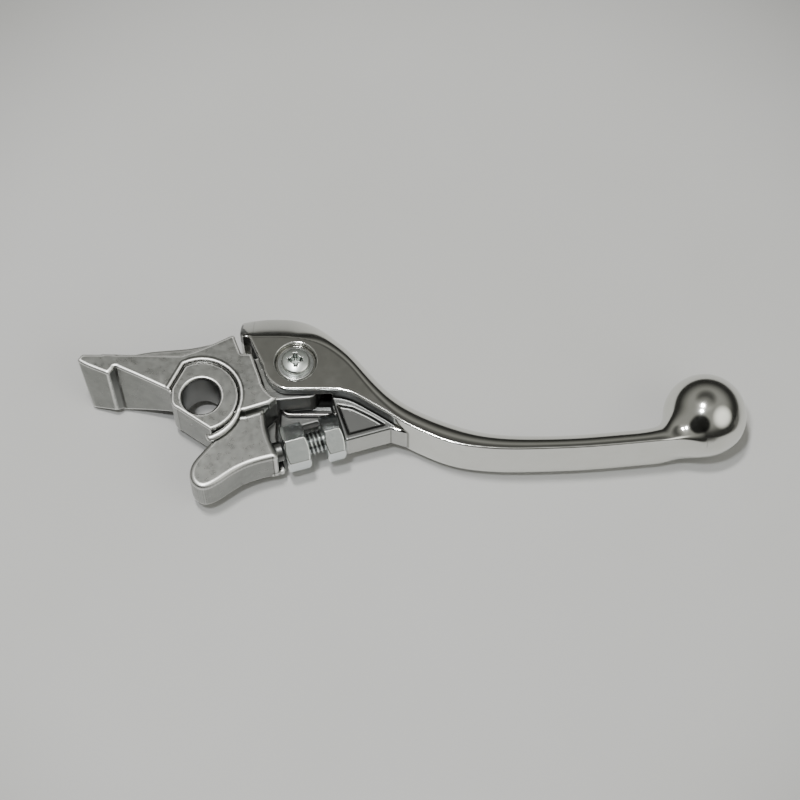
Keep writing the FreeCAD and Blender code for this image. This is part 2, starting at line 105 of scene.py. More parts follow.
# Lever head, fork and pivot
LEVER_PIVOT = (22.4, 8.9)
LEVER_HALF = 7.0
HEEL_LEFT = 8.75
HEEL_TOP = 5.6
HEEL_BEVEL_X = -0.82
HEEL_BEVEL_Z = 0.57
EAR_R = 7.9
FORK_HALF = 4.0
FORK_R = 8.2
COUNTERBORE_R = 5.0
COUNTERBORE_FLOOR = 5.4
SHOULDER_R = 3.0
SHOULDER_HOLE_R = 3.05
SCREW_THREAD_R = 2.5
SCREW_HEAD_R = 3.5
SCREW_HEAD_H = 2.3
SCREW_DOME_R = 7.0
RECESS_TURN = math.radians(4.0)
RECESS_DEPTH = 1.7
RECESS_CORE_R = 1.25
RECESS_ARM = (2.0, 0.52)
SCREW_END_Z = -9.8
WASHER_R = 4.4
WASHER_T = 0.7
BUSH_R = 4.0
BUSH_BORE_R = 3.025
SHIM_R = 4.7
SHIM_T = 0.3
THIN_NUT_AF = 8.0
THIN_NUT_H = 2.7

# Ball end
BALL_CENTRE = (120.5, -2.1, 0.0)
BALL_R = 10.0
NECK_START = 108.0
NECK_LENGTH = 12.5
NECK_BLEND = 4.0
NECK_NEAR_TAPER = 1.4

# Adjuster and the lug that holds it
ADJUSTER_START = (19.49, -10.61, -1.5)
ADJUSTER_ANGLE = math.radians(16.2)
HEX_AF = 10.0
HEX_TURN = math.radians(35.0)
HEAD_LENGTH = 5.8
FREE_THREAD = 4.0
NUT_LENGTH = 4.6
BOLT_R = 3.0
BOLT_LENGTH = 22.0
TAPPED_DEPTH = 26.0
PAD_R = 2.4
PAD_LENGTH = 6.0
TOE_GAP = 0.15
LUG_TOP = 2.5
LUG_BOTTOM = -6.0
LUG_POCKET_DEPTH = 0.6
LUG_FACE = HEAD_LENGTH + FREE_THREAD + NUT_LENGTH + 0.02
SKIRT_LEFT = 18.4
SKIRT_RIGHT = 33.0
SKIRT_TOP = -4.2
SKIRT_TO_ADJUSTER = 6.1

# Return spring
WIRE_R = 0.45
COIL_R = 5.85
COIL_PITCH = 1.02
COIL_TURNS = 2.5
COIL_TOP = -0.75
COIL_EXIT_ANGLE = 200.0
LEG_Z = COIL_TOP - COIL_TURNS * COIL_PITCH
LEG_Y = -0.4
LEG_END_X = 32.9
LEG_BEND_R = 1.5
LEG_HOLE = (27.9, 33.3)
LEG_GROOVE_HALF_WIDTH = 0.85
LEG_GROOVE_LENGTH = 12.0
LEG_GROOVE_TOP = -2.0
POCKET_R = 5.85
POCKET_HALF_WIDTH = 1.05
POCKET_TOP = -0.2

# Blade stations: x, front wall y, far edge y, width of the flat top
BLADE_STATIONS = [
    (6.0, 1.6, 21.75, 13.9), (10.0, 1.6, 22.8, 13.9), (14.0, 1.6, 23.5, 13.9), (18.0, 1.6, 23.65, 13.9),
    (22.0, 1.6, 23.3, 13.7), (28.0, 1.6, 20.65, 12.0), (32.0, 1.5, 17.05, 9.3), (36.0, 0.5, 13.1, 6.2),
    (40.0, -1.8, 8.4, 3.2), (44.0, -4.3, 3.9, 1.2), (48.0, -7.0, 0.6, 0.4), (53.0, -9.7, -2.3, 0.3),
    (59.0, -12.2, -4.9, 0.3), (65.0, -13.5, -6.9, 0.3), (72.0, -14.05, -8.1, 0.3), (80.0, -14.0, -8.4, 0.3),
    (90.0, -13.6, -8.1, 0.3), (100.0, -12.8, -7.2, 0.3), (108.0, -12.0, -6.0, 0.3), (112.0, -11.6, -4.4, 0.3),
    (115.0, -11.2, -2.6, 0.3), (118.0, -10.8, -0.4, 0.3),
]
HEAD_POWER = 1.2
BLADE_POWER = 2.0
POWER_CHANGE = (22.0, 36.0)


# ---- Plan outlines ----

def polar(centre, radius, degrees):
    """Point at an angle round a centre."""
    angle = math.radians(degrees)
    return centre[0] + radius * math.cos(angle), centre[1] + radius * math.sin(angle)


def arc(centre, radius, start_degrees, end_degrees, count):
    """Points along an arc, both ends included."""
    return [polar(centre, radius, degrees) for degrees in np.linspace(start_degrees, end_degrees, count)]


def spline(xs, ys):
    """Natural cubic curve through the stations."""
    xs, ys = np.array(xs), np.array(ys)
    gaps = np.diff(xs)
    matrix = np.eye(len(xs))
    right = np.zeros(len(xs))
    for i in range(1, len(xs) - 1):
        matrix[i, i - 1:i + 2] = gaps[i - 1], 2 * (gaps[i - 1] + gaps[i]), gaps[i]
        right[i] = 6 * ((ys[i + 1] - ys[i]) / gaps[i] - (ys[i] - ys[i - 1]) / gaps[i - 1])
    bend = np.linalg.solve(matrix, right)

    def value(x):
        x = np.clip(x, xs[0], xs[-1])
        i = np.clip(np.searchsorted(xs, x) - 1, 0, len(xs) - 2)
        gap, before, after = gaps[i], xs[i + 1] - x, x - xs[i]
        curve = (bend[i] * before ** 3 + bend[i + 1] * after ** 3) / (6 * gap)
        return (curve + (ys[i] / gap - bend[i] * gap / 6) * before
                + (ys[i + 1] / gap - bend[i + 1] * gap / 6) * after)

    return value


def curve_through(points, per_span=6):
    """Smooth curve through the points, without its first one."""
    points = np.array(points)
    along = np.concatenate([[0.0], np.cumsum(np.linalg.norm(np.diff(points, axis=0), axis=1))])
    stops = np.concatenate([np.linspace(a, b, per_span + 1)[1:] for a, b in zip(along, along[1:])])
    tracks = [spline(along, points[:, axis])(stops) for axis in (0, 1)]
    return [tuple(point) for point in np.stack(tracks, axis=1)]


def three_point_arc(start, middle, end):
    """Arc through three points, without its first one."""
    (ax, ay), (bx, by), (cx, cy) = start, middle, end
    twice_area = 2 * (ax * (by - cy) + bx * (cy - ay) + cx * (ay - by))
    a2, b2, c2 = ax * ax + ay * ay, bx * bx + by * by, cx * cx + cy * cy
    centre = ((a2 * (by - cy) + b2 * (cy - ay) + c2 * (ay - by)) / twice_area,
              (a2 * (cx - bx) + b2 * (ax - cx) + c2 * (bx - ax)) / twice_area)
    turns = [math.degrees(math.atan2(y - centre[1], x - centre[0])) for x, y in (start, middle, end)]
    to_middle, to_end = (turns[1] - turns[0]) % 360, (turns[2] - turns[0]) % 360
    if to_middle > to_end:
        to_end -= 360
    radius = math.hypot(ax - centre[0], ay - centre[1])
    return arc(centre, radius, turns[0], turns[0] + to_end, max(3, int(abs(to_end) / 8)))[1:]


def outline(start, *runs):
    """Corners of a closed outline. A run is a point (line), a pair (arc) or a list (curve)."""
    corners = [start]
    for run in runs:
        if isinstance(run, list):
            corners += curve_through([corners[-1]] + run)
        elif isinstance(run[0], tuple):
            corners += three_point_arc(corners[-1], *run)
        else:
            corners.append(run)
    return corners


def outline_distance(x, y, corners):
    """Signed distance in plan to a closed outline, negative inside."""
    best = np.full(np.broadcast(x, y).shape, 1e9)
    inside = np.zeros(best.shape, bool)
    for (ax, ay), (bx, by) in zip(corners, corners[1:] + corners[:1]):
        ex, ey = bx - ax, by - ay
        along = np.clip(((x - ax) * ex + (y - ay) * ey) / (ex * ex + ey * ey), 0.0, 1.0)
        best = np.minimum(best, (x - ax - ex * along) ** 2 + (y - ay - ey * along) ** 2)
        if ey != 0.0:
            inside ^= ((ay > y) != (by > y)) & (x < ax + (y - ay) * ex / ey)
    return np.where(inside, -1.0, 1.0) * np.sqrt(best)


def plan(corners, cell=0.08, margin=2.5):
    """The same distance, looked up on a fine grid made once."""
    low = np.min(corners, axis=0) - margin
    count = np.ceil((np.max(corners, axis=0) + margin - low) / cell).astype(int) + 1
    table = outline_distance(low[0] + cell * np.arange(count[0])[:, None],
                             low[1] + cell * np.arange(count[1])[None, :], corners)

    def distance(x, y):
        u = np.clip((x - low[0]) / cell, 0.0, count[0] - 1.001)
        v = np.clip((y - low[1]) / cell, 0.0, count[1] - 1.001)
        i, j = u.astype(int), v.astype(int)
        a, b = u - i, v - j
        near = table[i, j] * (1 - a) + table[i + 1, j] * a
        far = table[i, j + 1] * (1 - a) + table[i + 1, j + 1] * a
        return near * (1 - b) + far * b

    return distance


# ---- Implicit surfaces: a field is negative inside the metal ----

def smooth_max(a, b, reach):
    """Larger of two fields, rounded where they meet."""
    overlap = np.maximum(reach - np.abs(a - b), 0.0)
    return np.maximum(a, b) + overlap * overlap / (4.0 * reach)


def smooth_min(a, b, reach):
    """Smaller of two fields, filleted where they meet."""
    return -smooth_max(-a, -b, reach)


def carve(body, hole, reach):
    """Body with a hole cut out of it and the rim rounded."""
    return smooth_max(body, -hole, reach)


def between(s, low, high):
    """Field of the layer between two parallel planes."""
    return np.abs(s - (low + high) / 2) - (high - low) / 2


def slab(distance, z, bottom, top, reach):
    """Plan shape between two heights, with rounded rims."""
    return smooth_max(distance, between(z, bottom, top), reach)


def sphere(x, y, z, centre, radius):
    return np.sqrt((x - centre[0]) ** 2 + (y - centre[1]) ** 2 + (z - centre[2]) ** 2) - radius


def from_pivot_axis(x, y):
    return np.hypot(x - LEVER_PIVOT[0], y - LEVER_PIVOT[1])


def tapered(x, y, z, low, high, low_z, high_z, reach):
    """Convex block whose plan outline changes straight from one height to another."""
    t = np.clip((z - low_z) / (high_z - low_z), -0.2, 1.2)
    field = None
    for i, (a0, a1) in enumerate(zip(low, high)):
        b0, b1 = low[(i + 1) % len(low)], high[(i + 1) % len(high)]
        ax, ay = a0[0] + (a1[0] - a0[0]) * t, a0[1] + (a1[1] - a0[1]) * t
        ex, ey = b0[0] + (b1[0] - b0[0]) * t - ax, b0[1] + (b1[1] - b0[1]) * t - ay
        wall = ((x - ax) * ey - (y - ay) * ex) / np.sqrt(ex * ex + ey * ey)
        field = wall if field is None else smooth_max(field, wall, reach)
    return field


def gradient(field, points, reach):
    """Slope of the field at each point, from central differences."""
    slopes = []
    for axis in range(3):
        ahead, back = points.copy(), points.copy()
        ahead[:, axis] += reach
        back[:, axis] -= reach
        slopes.append((field(*ahead.T) - field(*back.T)) / (2 * reach))
    return np.stack(slopes, axis=1)


def bending(field, points, reach=0.22):
    """How strongly the surface bends: near 1 on an outer edge, near -1 in a crease, 0 on a flat."""
    total = -6.0 * field(*points.T)
    for axis in range(3):
        for side in (-reach, reach):
            moved = points.copy()
            moved[:, axis] += side
            total += field(*moved.T)
    return np.clip(total / reach ** 2 * 0.4, -1.0, 1.0)


def surface_points(values, cells):
    """One point per surface cell: the mean of its edges' crossings, in cell units."""
    total = np.zeros((len(cells), 3))
    hits = np.zeros(len(cells))
    for axis in range(3):
        side_a, side_b = [i for i in range(3) if i != axis]
        for a in (0, 1):
            for b in (0, 1):
                start = cells.copy()
                start[:, side_a] += a
                start[:, side_b] += b
                end = start.copy()
                end[:, axis] += 1
                f0, f1 = values[tuple(start.T)], values[tuple(end.T)]
                crosses = (f0 < 0) != (f1 < 0)
                place = start.astype(float)
                place[:, axis] += np.where(crosses, f0 / np.where(crosses, f0 - f1, 1.0), 0.0)
                total += place * crosses[:, None]
                hits += crosses
    return total / hits[:, None]


def surface_faces(inside, number):
    """Quads that join the four cells round each grid edge that crosses the surface."""
    quads = []
    for axis in range(3):
        u, v = (axis + 1) % 3, (axis + 2) % 3
        low = np.take(inside, range(inside.shape[axis] - 1), axis)
        high = np.take(inside, range(1, inside.shape[axis]), axis)
        edges = np.argwhere(low != high)
        step_u, step_v = np.eye(3, dtype=int)[u], np.eye(3, dtype=int)[v]
        ring = [number[tuple((edges - shift).T)] for shift in (0 * step_u, step_u, step_u + step_v, step_v)]
        ring = np.stack(ring, axis=1)
        leaves = low[tuple(edges.T)]
        quads.append(np.where(leaves[:, None], ring, ring[:, ::-1]))
    return np.concatenate(quads)


def mesh_field(name, field, low, high, step, place=None, finish_and_shade=None):
    """Mesh of a field's zero surface. place is the origin and turn that take it to the object's frame.
    finish_and_shade is 1 where the surface is dull and darkened, partly as an unpolished finish and partly as
    painted shade."""
    axes = [np.arange(lo, hi + step, step) for lo, hi in zip(low, high)]
    x, y, z = axes[0][:, None, None], axes[1][None, :, None], axes[2][None, None, :]
    values = np.array(np.broadcast_to(field(x, y, z), tuple(len(a) for a in axes)))
    inside = values < 0
    corners = sum(inside[i:i - 1 or None, j:j - 1 or None, k:k - 1 or None].astype(np.int8)
                  for i in (0, 1) for j in (0, 1) for k in (0, 1))
    surface = (corners > 0) & (corners < 8)
    cells = np.argwhere(surface)
    number = np.full(surface.shape, -1)
    number[surface] = np.arange(len(cells))
    points = surface_points(values, cells) * step + np.array([a[0] for a in axes])
    for _ in range(3):
        slope = gradient(field, points, 0.03)
        move = (field(*points.T) / np.maximum((slope ** 2).sum(1), 0.05))[:, None] * slope
        points -= np.clip(move, -0.5 * step, 0.5 * step)
    normals = gradient(field, points, 0.08)
    normals /= np.maximum(np.linalg.norm(normals, axis=1), 1e-6)[:, None]
    bend = bending(field, points).astype(np.float32)
    finish_and_shade_share = np.zeros(len(points)) if finish_and_shade is None else finish_and_shade(points, normals)
    faces = surface_faces(inside, number)
    if place is not None:
        origin, turn = place
        points = points @ turn.T + origin
        normals = normals @ turn.T
    mesh = bpy.data.meshes.new(name)
    mesh.from_pydata((points * MM).tolist(), [], faces.tolist())
    mesh.polygons.foreach_set("use_smooth", [True] * len(mesh.polygons))
    mesh.normals_split_custom_set_from_vertices(normals.tolist())
    # The crease and finish_and_shade attributes carry painted shade into the materials
    mesh.attributes.new("edge", "FLOAT", "POINT").data.foreach_set("value", np.maximum(bend, 0.0))
    mesh.attributes.new("crease", "FLOAT", "POINT").data.foreach_set("value", np.maximum(-bend, 0.0))
    mesh.attributes.new("finish_and_shade", "FLOAT", "POINT").data.foreach_set("value", finish_and_shade_share.astype(np.float32))
    piece = bpy.data.objects.new(name, mesh)
    bpy.context.scene.collection.objects.link(piece)
    return piece


# ---- Knocker ----

def boss_outline():
    """Round boss with a flat at its lower left."""
    low = polar((0, 0), BOSS_R, -74.0)
    return outline(polar((0, 0), BOSS_R, 117.0), (polar((0, 0), BOSS_R, 20.0), low),
                   (-5.5, -3.2), ((-6.8, -2.1), (-7.15, -0.5)), (-7.1, 2.1))


boss_plan = plan(boss_outline(), margin=5.0)
web_plan = plan(outline(
    (-24.0, 10.95), (-5.5, 10.6), [(-0.6, 12.4), (4.6, 14.9), (6.6, 15.9)], ((7.3, 16.0), (7.7, 15.3)),
    (9.1, 11.6), ((9.3, 11.25), (9.7, 11.2)), (11.8, 11.2), (14.1, 4.6), ((15.3, 1.7), (18.0, -0.6)),
    (16.3, -2.0), (10.6, -3.9), (0.0, -5.0), (-7.9, 1.6), (-14.7, 5.2), (-20.2, 7.6), (-24.0, 7.8)))
ledge_plan = plan(outline(
    (-22.0, 10.4), [(-16.0, 12.3), (-9.0, 13.3), (-3.0, 13.9), (4.0, 15.6)], (5.0, 12.0), (-5.0, 8.0)))
toe_plan = plan(outline(
    (3.0, -8.0), (2.6, -10.8),
    [(0.2, -13.7), (-1.7, -16.4), (-2.3, -19.3), (-1.6, -21.4), (0.7, -22.9), (3.2, -22.3),
     (7.4, -19.4), (12.0, -16.9), (17.4, -15.3)], ((18.3, -14.9), (18.3, -14.0)),
    [(17.1, -11.4), (15.7, -7.2), (15.2, -3.4)], (16.2, -1.6), (10.0, 2.0), (2.0, 2.0)))
flange_plan = plan(outline(
    (14.0, -1.5), (17.6, -1.5), (17.6, -5.6), (19.1, -11.2), (19.8, -13.6), ((19.8, -14.4), (19.2, -14.9)),
    (17.0, -15.4), (14.0, -14.0)))
tongue_plan = plan(outline(
    (9.0, 8.0), (11.6, 11.0), polar(LEVER_PIVOT, TONGUE_R, 150.0),
    (polar(LEVER_PIVOT, TONGUE_R, 60.0), polar(LEVER_PIVOT, TONGUE_R, -48.0)),
    ((27.0, 1.6), (25.4, 0.9)), (17.5, 0.2), (15.5, -1.6), (9.0, -2.5)))

ARM_BASE = [(ARM_LEFT, 3.6), (ARM_RIGHT, 0.76), (ARM_RIGHT, 7.0), (ARM_LEFT, 9.4)]
ARM_TOP = [(ARM_LEFT, 7.5), (ARM_RIGHT, 0.2), (ARM_RIGHT, 10.5), (ARM_LEFT, 10.8)]
HOOK_BASE = [(-27.4, 3.85), (-21.2, 1.9), (-18.1, 4.3), (-18.6, 8.4), (-26.6, 9.6), (-27.7, 4.6)]
HOOK_TOP = [(-28.6, 8.3), (-22.4, 5.7), (-21.0, 7.6), (-20.6, 10.95), (-29.0, 11.0), (-30.1, 9.4)]


def adjuster_coordinates(x, y, z):
    """Distance along the adjuster's axis, and distance from it."""
    dx, dy, dz = x - ADJUSTER_START[0], y - ADJUSTER_START[1], z - ADJUSTER_START[2]
    along = dx * math.cos(ADJUSTER_ANGLE) + dy * math.sin(ADJUSTER_ANGLE)
    aside = dy * math.cos(ADJUSTER_ANGLE) - dx * math.sin(ADJUSTER_ANGLE)
    return along, np.sqrt(aside ** 2 + dz ** 2)


def rim_field(from_boss, x, y, z):
    """Lip that follows the boss and spreads out and down towards the toe."""
    turn = np.degrees(np.arctan2(y, x))
    low_end, high_end = RIM_ENDS
    past_end = np.where(turn < low_end, np.minimum(low_end - turn, turn + 360.0 - high_end),
                        np.maximum(turn - high_end, 0.0))
    spread = np.clip((RIM_SPREAD_FROM - turn) / (RIM_SPREAD_FROM - low_end), 0.0, 1.0)
    aside = from_boss - RIM_FROM_BOSS - 0.9 * spread
    height = z - RIM_CENTRE_Z + 1.2 * spread
    return np.sqrt(aside ** 2 + height ** 2 + (0.17 * past_end) ** 2) - RIM_BEAD_R - 0.4 * spread


def arm_and_hook(x, y, z):
    """Arm whose floor slopes down to the left, with the switch's hook on its end."""
    arm_floor = ARM_LOW + (x - ARM_LEFT) * (WEB_BOTTOM - ARM_LOW) / (ARM_RIGHT - ARM_LEFT)
    arm = smooth_max(tapered(x, y, z, ARM_BASE, ARM_TOP, ARM_LOW, ARM_HIGH, 0.3), arm_floor - z, 0.6)
    hook = smooth_max(tapered(x, y, z, HOOK_BASE, HOOK_TOP, HOOK_BOTTOM, WEB_TOP, 0.5), HOOK_BOTTOM - z, 0.5)
    toe_bevel = (HOOK_BOTTOM + 2.6 - z + 2.2 - y) * HALF_ROOT + 0.4
    return smooth_min(arm, smooth_max(hook, toe_bevel, 0.4), 0.35)


def knocker_field(x, y, z):
    """The casting: boss, web, arm, ledge, toe, flange, push pad and tongue, then its holes and grooves."""
    boss_distance = boss_plan(x, y)
    boss = slab(boss_distance, z, -BOSS_HALF, BOSS_HALF, 0.5)
    sides = smooth_max(web_plan(x, y), WEB_BOTTOM - z, 0.6)
    sides = smooth_min(sides, arm_and_hook(x, y, z), 0.5)
    upper = smooth_max(sides, z - WEB_TOP, 0.65)
    upper = carve(upper, np.maximum(boss_distance, BOSS_HALF - 1.0 - z), 0.15)
    body = smooth_min(upper, slab(ledge_plan(x, y), z, WEB_BOTTOM, LEDGE_TOP, 1.0), 0.3)
    toe = slab(toe_plan(x, y), z, TOE_BOTTOM, TOE_TOP, 1.3)
    body = smooth_min(smooth_min(body, toe, 1.3), boss, 0.3)
    body = smooth_min(body, slab(flange_plan(x, y), z, TOE_BOTTOM, FLANGE_TOP, 0.6), 0.5)
    along, off_axis = adjuster_coordinates(x, y, z)
    pad = smooth_max(off_axis - PAD_R, np.maximum(along + TOE_GAP, -PAD_LENGTH - along), 0.4)
    body = smooth_min(body, pad, 0.8)
    body = smooth_min(body, slab(tongue_plan(x, y), z, -TONGUE_HALF, TONGUE_HALF, 0.4), 0.6)
    groove = np.maximum(between(boss_distance, 0.0, GROOVE_W), GROOVE_FLOOR - z)
    body = carve(body, groove, 0.3)
    body = smooth_min(body, rim_field(boss_distance, x, y, z), 0.3)
    from_bore = np.hypot(x, y)
    body = carve(body, from_bore - BORE_R, 0.35)
    chamfer = (from_bore - BORE_R - BORE_CHAMFER + (BOSS_HALF - np.abs(z))) * HALF_ROOT
    body = carve(body, chamfer, 0.12)
    from_pivot = from_pivot_axis(x, y)
    body = carve(body, from_pivot - BUSH_R, 0.2)
    body = carve(body, np.maximum(np.abs(from_pivot - POCKET_R) - POCKET_HALF_WIDTH, z - POCKET_TOP), 0.2)
    body = carve(body, leg_groove(x, y, z), 0.2)
    return carve(body, sphere(x, y, z, PIT_CENTRE, PIT_R), 0.15)


def knocker_painted_shade(points, normals):
    """How much painted shade darkens and dulls the casting: the bore, the surfaces beside the adjuster and
    the hook's flank.
    """
    x, y, z = points.T
    in_bore = (np.hypot(x, y) < BORE_R + 0.25) & (np.abs(z) < BOSS_HALF - 0.3)
    near_adjuster = (x > 14.6) & (z < TOE_TOP - 0.6) & (y < 2.5) & (y > -13.6)
    hook_flank = (x < -16.0) & (z < WEB_TOP - 0.7) & (normals[:, 0] > 0.35)
    return np.select([in_bore, near_adjuster, hook_flank], [0.9, 0.85, 0.55], 0.0)


def leg_groove(x, y, z):
    """Way out of the spring pocket for the crossing leg."""
    start = polar(LEVER_PIVOT, COIL_R, COIL_EXIT_ANGLE)
    heading = math.radians(COIL_EXIT_ANGLE + 90.0)
    dx, dy = x - start[0], y - start[1]
    along = dx * math.cos(heading) + dy * math.sin(heading)
    aside = dy * math.cos(heading) - dx * math.sin(heading)
    sides = np.maximum(np.abs(aside) - LEG_GROOVE_HALF_WIDTH, between(along, 0.0, LEG_GROOVE_LENGTH))
    return np.maximum(sides, z - LEG_GROOVE_TOP)


# ---- Lever blade ----

station_x, *station_columns = zip(*BLADE_STATIONS)
front_y, far_y, flat_width = (spline(station_x, column) for column in station_columns)


def blade_bar(x, y, z):
    """Flat front wall and top, with a back that is a rounded bevel at the head and half round later."""
    into_neck = np.clip((x - NECK_START) / NECK_LENGTH, 0.0, 0.98)
    half = LEVER_HALF * np.sqrt(1.0 - into_neck ** 2)
    start = front_y(x) + np.maximum(flat_width(x), 0.2)
    depth = far_y(x) - start
    share = np.clip((x - POWER_CHANGE[0]) / (POWER_CHANGE[1] - POWER_CHANGE[0]), 0.0, 1.0)
    power = HEAD_POWER + (BLADE_POWER - HEAD_POWER) * share * share * (3.0 - 2.0 * share)
    across = np.maximum(y - start, 0.0) / depth
    up = np.abs(z) / half
    scaled = (across ** power + up ** power) ** (1.0 / power) + 1e-9
    slope_y = (across / scaled) ** (power - 1.0) / depth
    slope_z = (up / scaled) ** (power - 1.0) / half
    back = (scaled - 1.0) / (np.sqrt(slope_y ** 2 + slope_z ** 2) + 1e-9)
    near = front_y(x) + NECK_NEAR_TAPER * into_neck ** 2
    return smooth_max(np.maximum(back, x - BALL_CENTRE[0] + 1.5), near - y, 0.45 + 3.0 * into_neck ** 2)


def lug_face_point(y):
    """Point of the lug's left face, which is square to the adjuster."""
    x = ADJUSTER_START[0] + LUG_FACE * math.cos(ADJUSTER_ANGLE)
    seat_y = ADJUSTER_START[1] + LUG_FACE * math.sin(ADJUSTER_ANGLE)
    return x + (seat_y - y) * math.tan(ADJUSTER_ANGLE), y


def skirt_outline():
    """Lower ear's reach under the spring's leg, its near edge parallel to the adjuster."""
    offset = SKIRT_TO_ADJUSTER / math.cos(ADJUSTER_ANGLE)
    edge = [(x, ADJUSTER_START[1] + (x - ADJUSTER_START[0]) * math.tan(ADJUSTER_ANGLE) + offset)
            for x in (SKIRT_LEFT, SKIRT_RIGHT - 1.0)]
    return outline((SKIRT_LEFT, 2.0), edge[0], edge[1], (SKIRT_RIGHT, 2.2))


ear_plan = plan(outline(
    (9.2, 40.0), (9.2, 20.2), ((9.3, 19.0), (9.6, 18.6)), (11.2, 15.2), polar(LEVER_PIVOT, EAR_R, 187.0),
    (polar(LEVER_PIVOT, EAR_R, 225.0), polar(LEVER_PIVOT, EAR_R, 262.0)), (21.3, -30.0), (60.0, -30.0),
    (60.0, 40.0)))
heel_plan = plan(outline(
    (8.8, 30.0), (HEEL_LEFT, 17.0), ((8.85, 16.6), (9.1, 16.3)), (9.6, 15.6), (12.0, 15.5), (12.0, 30.0)))
fork_plan = plan(outline(
    (5.0, 14.0), polar(LEVER_PIVOT, FORK_R, 122.0),
    (polar(LEVER_PIVOT, FORK_R, 60.0), polar(LEVER_PIVOT, FORK_R, 0.0)),
    (31.2, 0.0), (31.2, -6.0), (5.0, -6.0)))
lug_plan = plan(outline(
    lug_face_point(1.6), lug_face_point(-9.2), ((34.6, -9.75), (35.3, -9.7)), (45.2, -6.8), (49.0, -8.0),
    (48.0, -3.0), (40.0, 4.0)))
skirt_plan = plan(skirt_outline())
pocket_plan = plan(outline((32.5, -0.5), (35.2, -8.0), (43.6, -5.6), [(40.2, -3.4), (36.0, -1.2)]))


def lever_field(x, y, z):
    """The forging: bar trimmed to the ears and heel, fork slot, lug, skirt and ball, then its holes.
    The two plans reach no further than their own grids, so past these a constant stands for them."""
    bar = blade_bar(x, y, z)
    trim = np.where(x < 50.0, ear_plan(x, y), -5.0)
    heel_bevel = (z - HEEL_TOP) * HEEL_BEVEL_Z + (x - HEEL_LEFT) * HEEL_BEVEL_X
    heel = smooth_max(np.where(x < 20.0, heel_plan(x, y), 5.0), heel_bevel, 0.2)
    body = smooth_min(smooth_max(bar, trim, 0.5), smooth_max(bar, heel, 0.6), 0.2)
    body = carve(body, np.maximum(fork_plan(x, y), np.abs(z) - FORK_HALF), 0.4)
    lug = slab(lug_plan(x, y), z, LUG_BOTTOM, LUG_TOP, 0.6)
    pocket = smooth_max(pocket_plan(x, y), LUG_TOP - LUG_POCKET_DEPTH - z, 0.5)
    body = smooth_min(body, carve(lug, pocket, 0.5), 0.45)
    body = smooth_min(body, slab(skirt_plan(x, y), z, -LEVER_HALF, SKIRT_TOP, 0.5), 0.5)
    body = smooth_min(body, sphere(x, y, z, BALL_CENTRE, BALL_R), NECK_BLEND)
    from_pivot = from_pivot_axis(x, y)
    body = carve(body, np.maximum(from_pivot - COUNTERBORE_R, COUNTERBORE_FLOOR - z), 0.25)
    body = carve(body, np.maximum(from_pivot - SHOULDER_HOLE_R, -z), 0.2)
    body = carve(body, from_pivot - SCREW_THREAD_R - RUNNING_GAP, 0.2)
    along, off_axis = adjuster_coordinates(x, y, z)
    tapped = np.maximum(off_axis - BOLT_R - RUNNING_GAP, between(along, 0.0, TAPPED_DEPTH))
    body = carve(body, tapped, 0.2)
    leg_hole = np.hypot(y - LEG_Y, z - LEG_Z) - WIRE_R - 0.1
    return carve(body, np.maximum(leg_hole, between(x, *LEG_HOLE)), 0.1)


def lever_forging_and_shade(points, normals):
    """1 where the lever is an unpolished forging, darkened there with painted shade as well: pocket, fork,
    skirt, walls over the lug; less on satin places.
    """
    x, y, z = points.T
    in_pocket = np.clip(0.4 - 2.0 * pocket_plan(x, y), 0.0, 1.0) * (np.abs(z - 2.0) < 1.5)
    in_fork = np.clip(1.0 - 4.0 * fork_plan(x, y), 0.0, 1.0) * (np.abs(z) < FORK_HALF + 0.3)
    on_skirt = np.clip(1.0 - 4.0 * skirt_plan(x, y), 0.0, 1.0) * (z < SKIRT_TOP + 0.6)
    below_rim = np.clip((LEVER_HALF - 0.5 - z) / 0.4, 0.0, 1.0) * (z > LUG_TOP - 0.4)
    ear_wall = below_rim * (ear_plan(x, y) > -0.25) * (x < 30.0)
    wall_over_lug = below_rim * (y < front_y(x) + 0.3) * (x < 46.0)
    lug_wall = 0.4 * (lug_plan(x, y) > -0.3) * (z < LUG_TOP - 0.3) * (x > 30.0) * (x < 49.0)
    behind_flat = np.clip(y - front_y(x) - flat_width(x), 0.0, 1.0)
    bevel = 0.35 * np.clip((28.0 - x) / 8.0, 0.0, 1.0) * behind_flat * (z > 0.0)
    return np.maximum.reduce((in_pocket, in_fork, on_skirt, ear_wall, wall_over_lug, lug_wall, bevel))


# ---- Fasteners. s runs along the axis, a and b across it. ----

def hex_block(s, a, b, start, end, across_flats, turn):
    """Hexagon block with the turned chamfer that rounds its corners off at both ends."""
    field = np.maximum(start - s, s - end)
    for i in range(6):
        angle = turn + math.pi / 6 + i * math.pi / 3
        field = smooth_max(field, a * math.cos(angle) + b * math.sin(angle) - across_flats / 2, 0.18)
    radius = np.hypot(a, b)
    for depth in (s - start, end - s):
        field = smooth_max(field, (radius - across_flats * 0.485 - depth * math.sqrt(3.0)) * 0.5, 0.12)
    return field


def threaded(s, a, b, radius, pitch):
    """Endless shank with a helical vee groove."""
    phase = s / pitch - np.arctan2(b, a) / (2 * math.pi)
    ramp = np.abs(2.0 * (phase - np.floor(phase)) - 1.0)
    groove = 0.55 * pitch * np.clip(1.3 * ramp - 0.15, 0.0, 1.0)
    return (np.hypot(a, b) - radius + groove) * 0.65


def adjuster_bolt_field(s, a, b):
    """Hexagon head at the start, then the threaded shank with a pointed end."""
    head = hex_block(s, a, b, 0.0, HEAD_LENGTH, HEX_AF, HEX_TURN)
    ends = np.maximum(HEAD_LENGTH - 0.5 - s, s - BOLT_LENGTH)
    shank = np.maximum(threaded(s, a, b, BOLT_R, 1.0), ends)
    tip = (np.hypot(a, b) - BOLT_R + s - BOLT_LENGTH + 0.9) * 0.7
    return smooth_min(head, smooth_max(shank, tip, 0.15), 0.15)


